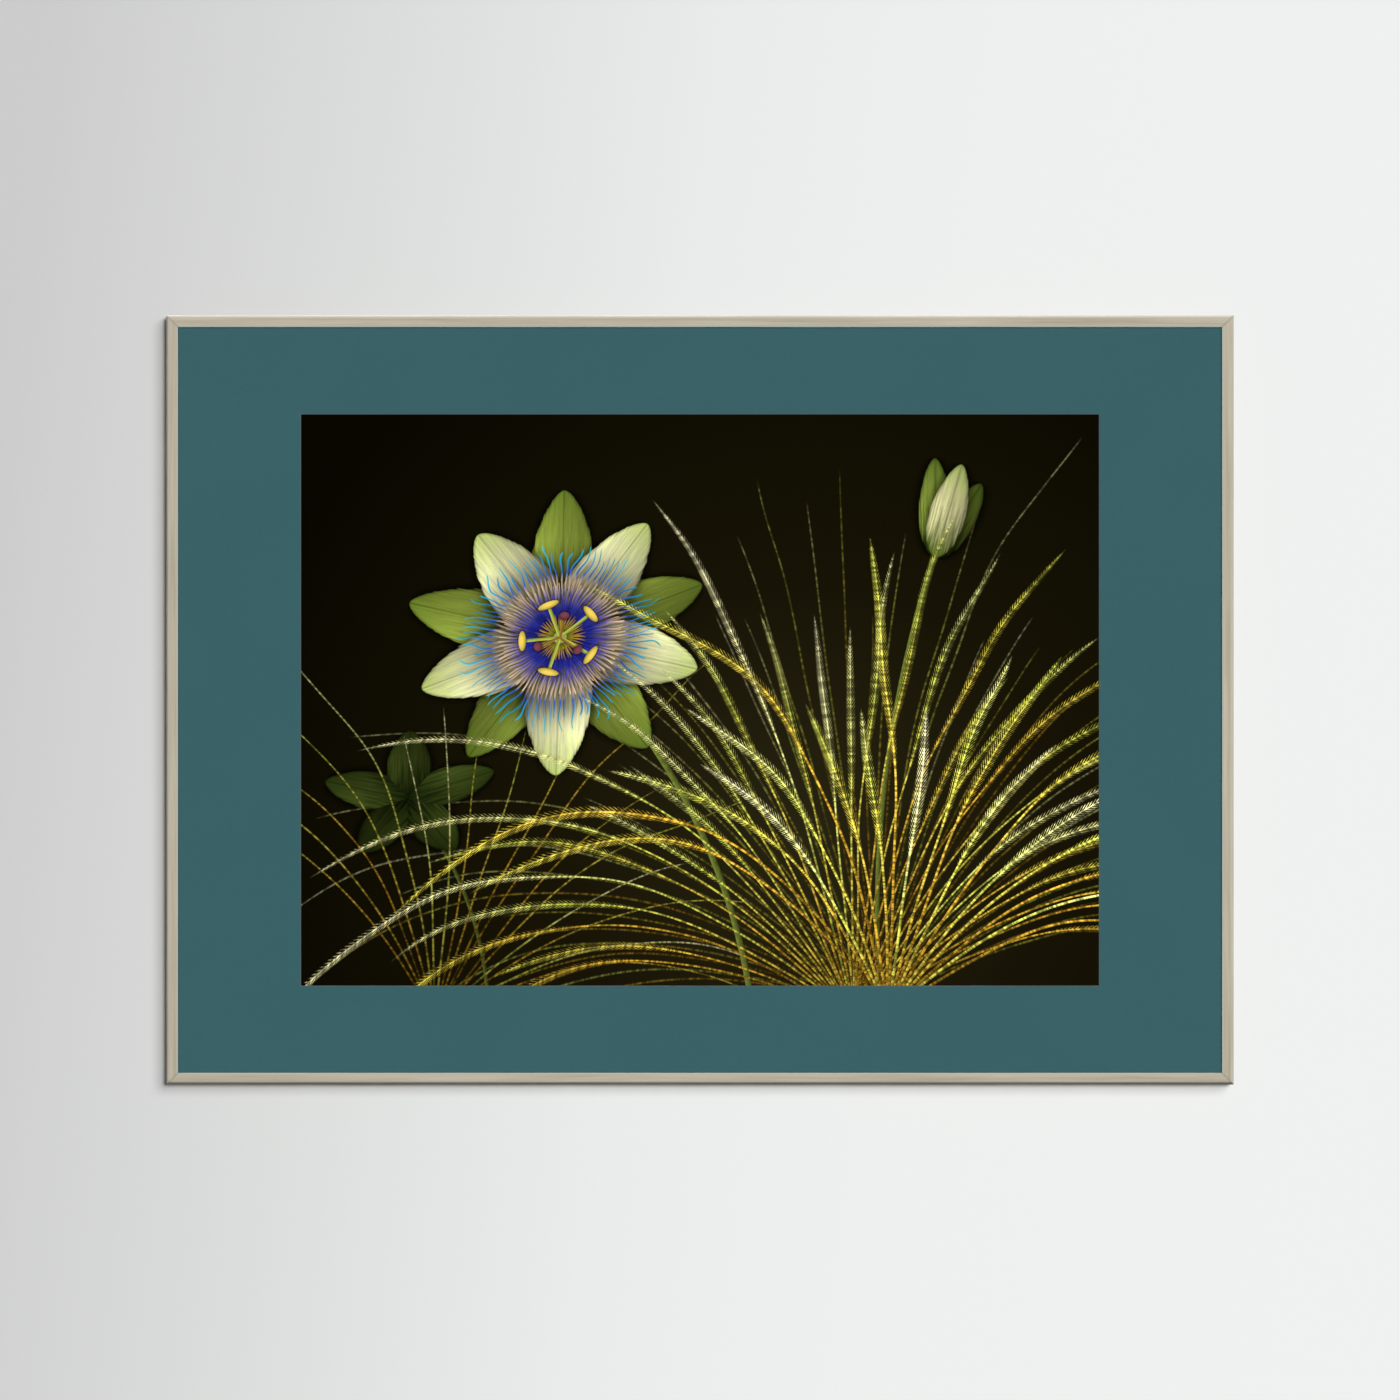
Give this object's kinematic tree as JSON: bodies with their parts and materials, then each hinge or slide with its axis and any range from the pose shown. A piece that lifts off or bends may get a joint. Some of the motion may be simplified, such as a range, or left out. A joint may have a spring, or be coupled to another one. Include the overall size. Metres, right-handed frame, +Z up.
{
  "type": "framed picture",
  "caption": "Slim wood-framed picture: mitred oak rails, clear front sheet, wide bevelled mat, dark botanical print, and a fibreboard back with a serrated strip to hang on a nail.",
  "frame": {"origin": "where the nail that the picture hangs on leaves the wall, on the wall plane, level with the roots of the hanging strip's teeth", "axes": "+X to the viewer's right along the picture's width, +Y from the picture into the wall, +Z up"},
  "size_m": [0.716, 0.02, 0.516],
  "materials": {
    "limed_oak": "matte",
    "clear_acrylic": "gloss",
    "mat_board": "matte",
    "printed_paper": "satin",
    "fibreboard": "matte",
    "plated_steel": "satin",
    "rivet_steel": "satin",
    "spring_steel": "satin"
  },
  "bodies": {
    "root": {"rail_top": "limed_oak", "rail_bottom": "limed_oak", "rail_left": "limed_oak", "rail_right": "limed_oak", "glazing": "clear_acrylic", "mat": "mat_board", "print": "printed_paper", "backing_board": "fibreboard", "hanger": "plated_steel", "hanger_rivet_left": "rivet_steel", "hanger_rivet_right": "rivet_steel", "flex_point_top_1": "spring_steel", "flex_point_top_2": "spring_steel", "flex_point_top_3": "spring_steel", "flex_point_top_4": "spring_steel", "flex_point_bottom_1": "spring_steel", "flex_point_bottom_2": "spring_steel", "flex_point_bottom_3": "spring_steel", "flex_point_bottom_4": "spring_steel", "flex_point_left_1": "spring_steel", "flex_point_left_2": "spring_steel", "flex_point_left_3": "spring_steel", "flex_point_right_1": "spring_steel", "flex_point_right_2": "spring_steel", "flex_point_right_3": "spring_steel"}
  },
  "joints": []
}
